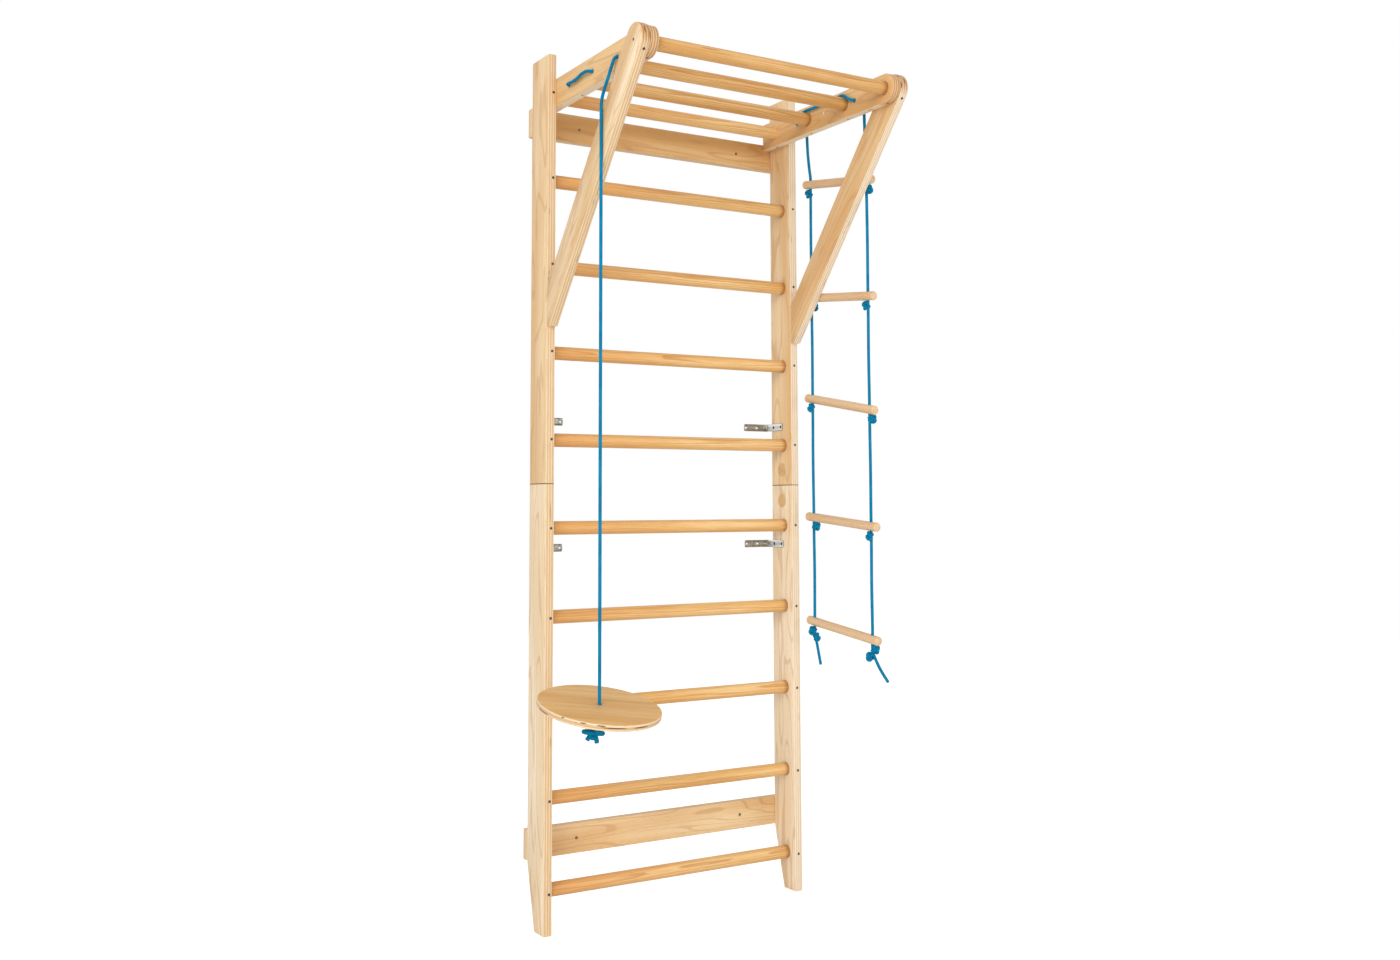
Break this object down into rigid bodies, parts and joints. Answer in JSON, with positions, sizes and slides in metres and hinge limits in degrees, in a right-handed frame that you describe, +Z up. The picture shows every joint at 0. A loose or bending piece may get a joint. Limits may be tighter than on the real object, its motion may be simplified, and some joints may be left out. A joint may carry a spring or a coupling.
{
  "type": "swedish wall bars",
  "caption": "Wall-mounted wooden climbing bars with a braced overhead ladder, a disc swing on a rope and a knotted rope ladder hung from the arms.",
  "frame": {"origin": "centre of the upper batten's wall face", "axes": "+X along the rungs to the right seen from the room, +Y into the wall, +Z up"},
  "size_m": [0.9526, 0.6318, 2.225],
  "materials": {
    "plywood": "clear-lacquered pale plywood, edges eased, layers and small voids showing on the edges",
    "disc_plywood": "clear-lacquered plywood, slightly darker than the frame",
    "rung_wood": "smooth lacquered pine dowel",
    "ladder_wood": "sanded beech dowel",
    "plug_wood": "sanded wood plug, flush with the upright",
    "zinc": "zinc-plated steel",
    "rope": "blue braided polypropylene rope"
  },
  "bodies": {
    "frame": {"upright_left_lower": "plywood", "joint_plug_left_lower": "plug_wood", "bracket_left_lower": "zinc", "upright_left_upper": "plywood", "joint_plug_left_upper": "plug_wood", "bracket_left_upper": "zinc", "arm_left": "plywood", "brace_left": "plywood", "joint_rod_left": "zinc", "upright_right_lower": "plywood", "joint_plug_right_lower": "plug_wood", "bracket_right_lower": "zinc", "upright_right_upper": "plywood", "joint_plug_right_upper": "plug_wood", "bracket_right_upper": "zinc", "arm_right": "plywood", "brace_right": "plywood", "joint_rod_right": "zinc", "wall_rung_01": "rung_wood", "wall_rung_02": "rung_wood", "wall_rung_03": "rung_wood", "wall_rung_04": "rung_wood", "wall_rung_05": "rung_wood", "wall_rung_06": "rung_wood", "wall_rung_07": "rung_wood", "wall_rung_08": "rung_wood", "wall_rung_09": "rung_wood", "wall_rung_10": "rung_wood", "overhead_rung_1": "rung_wood", "overhead_rung_2": "rung_wood", "overhead_rung_3": "rung_wood", "batten_lower": "plywood", "batten_upper": "plywood", "disc_rope_woven": "rope", "ladder_rope_bridge": "rope"},
    "swing_upper": {"disc_rope_upper": "rope"},
    "swing_rope": {"disc_rope_lower": "rope"},
    "swing_disc": {"disc": "disc_plywood"},
    "ladder_1": {"ladder_rung_1": "ladder_wood", "ladder_rope_rear_1": "rope", "ladder_rope_front_1": "rope"},
    "ladder_2": {"ladder_rung_2": "ladder_wood", "ladder_rope_rear_2": "rope", "ladder_rope_front_2": "rope"},
    "ladder_3": {"ladder_rung_3": "ladder_wood", "ladder_rope_rear_3": "rope", "ladder_rope_front_3": "rope"},
    "ladder_4": {"ladder_rung_4": "ladder_wood", "ladder_rope_rear_4": "rope", "ladder_rope_front_4": "rope"},
    "ladder_5": {"ladder_rung_5": "ladder_wood", "ladder_rope_rear_5": "rope", "ladder_rope_front_5": "rope"}
  },
  "joints": [
    {"name": "swing_sideways", "type": "hinge", "parent": "frame", "child": "swing_upper", "pos_m": [-0.3936, -0.438, -0.20411], "axis": [0, 1, 0], "range_deg": [-30, 40]},
    {"name": "swing_fore_aft", "type": "hinge", "parent": "swing_upper", "child": "swing_rope", "pos_m": [-0.3936, -0.438, -0.24041], "axis": [1, 0, 0], "range_deg": [-45, 7]},
    {"name": "disc_spin", "type": "hinge", "parent": "swing_rope", "child": "swing_disc", "pos_m": [-0.3936, -0.438, -1.473], "axis": [0, 0, 1], "continuous": true},
    {"name": "ladder_swing", "type": "hinge", "parent": "frame", "child": "ladder_1", "pos_m": [0.3703, -0.332, 0.058], "axis": [0, -1, 0], "range_deg": [0, 45]},
    {"name": "ladder_fold_2", "type": "hinge", "parent": "ladder_1", "child": "ladder_2", "pos_m": [0.402, -0.306, -0.15985], "axis": [0, -0.9893, -0.1457], "range_deg": [0, 20]},
    {"name": "ladder_fold_3", "type": "hinge", "parent": "ladder_2", "child": "ladder_3", "pos_m": [0.402, -0.306, -0.47974], "axis": [0, -0.9942, -0.1079], "range_deg": [-10, 20]},
    {"name": "ladder_fold_4", "type": "hinge", "parent": "ladder_3", "child": "ladder_4", "pos_m": [0.402, -0.306, -0.77445], "axis": [0, -0.9851, -0.1718], "range_deg": [-25, 20]},
    {"name": "ladder_fold_5", "type": "hinge", "parent": "ladder_4", "child": "ladder_5", "pos_m": [0.402, -0.306, -1.09319], "axis": [0, -0.996, -0.0888], "range_deg": [-25, 20]}
  ]
}
